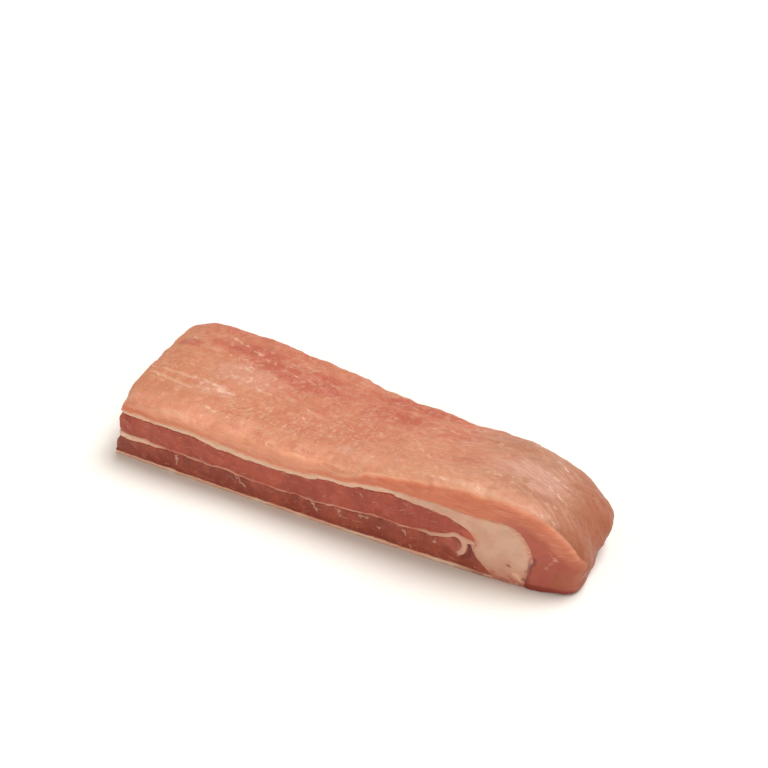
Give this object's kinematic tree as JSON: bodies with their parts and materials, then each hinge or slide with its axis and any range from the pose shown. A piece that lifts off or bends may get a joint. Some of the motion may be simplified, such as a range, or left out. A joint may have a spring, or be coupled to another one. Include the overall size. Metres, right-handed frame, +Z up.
{
  "type": "boneless short rib strip",
  "caption": "Raw boneless short rib strip, cut through its layers: pale cover muscle rolled over one end, a wedge of fat, lean muscles with a fat seam, and a thin membrane below.",
  "frame": {"origin": "under the middle of the strip, on the surface that it lies on", "axes": "+X along the strip towards the rolled nose, -Y towards the cut face that shows the fat wedge, +Z up through the layers"},
  "size_m": [0.2588, 0.0932, 0.0463],
  "materials": {
    "cover_muscle": "pale raw muscle, moist, with fine pale fibres",
    "fat": "soft cream fat, waxy",
    "lean": "cut raw lean, moist, fine grain and flecks of fat",
    "dark_lean": "darker cut raw lean, moist, flecks of fat",
    "membrane": "thin pink connective skin, moist"
  },
  "bodies": {
    "root": {"cover_muscle": "cover_muscle", "fat_wedge": "fat", "upper_lean": "lean", "fat_seam": "fat", "lower_lean": "dark_lean", "membrane": "membrane"}
  },
  "joints": []
}
